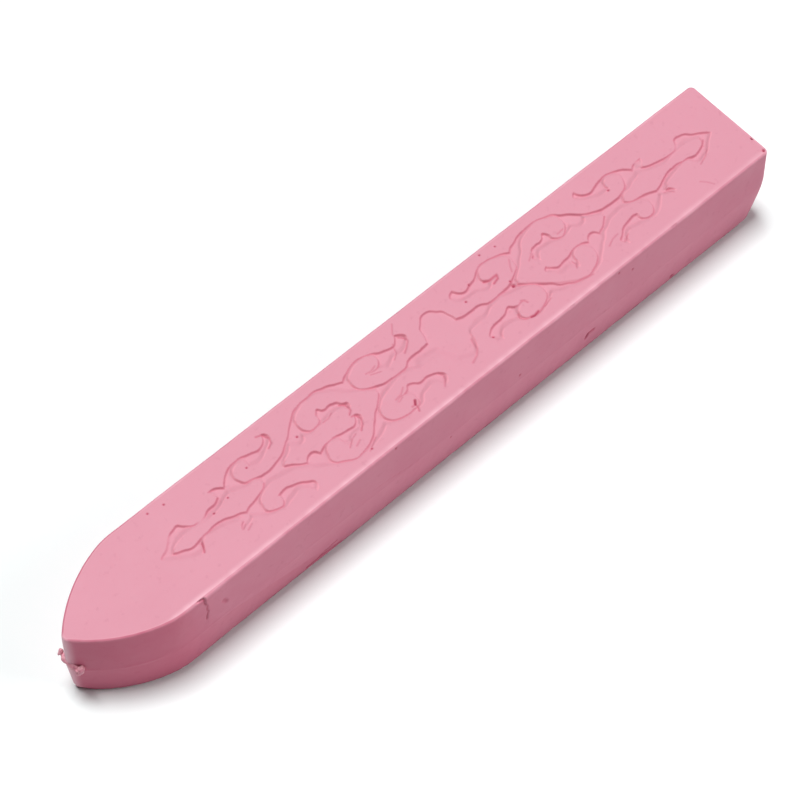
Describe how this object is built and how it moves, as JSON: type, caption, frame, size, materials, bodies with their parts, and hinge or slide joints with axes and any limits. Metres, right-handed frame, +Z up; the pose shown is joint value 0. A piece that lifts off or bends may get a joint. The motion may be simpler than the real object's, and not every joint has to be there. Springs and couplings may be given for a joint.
{
  "type": "sealing wax stick",
  "caption": "Square bar of sealing wax with a pointed nose, a flat butt and sunk scrollwork on top, cast round a cotton wick that is lit to drip wax for a seal.",
  "frame": {"origin": "on the base, under the middle of the bar between nose tip and butt", "axes": "+X from the pointed nose to the flat butt, +Y across the bar, +Z up out of the scrollwork face"},
  "size_m": [0.0904, 0.012, 0.0115],
  "materials": {
    "wax": "satin, as cast",
    "wick_cotton": "twisted cotton soaked with wax"
  },
  "bodies": {
    "root": {"wax_body": "wax", "wick": "wick_cotton"}
  },
  "joints": []
}
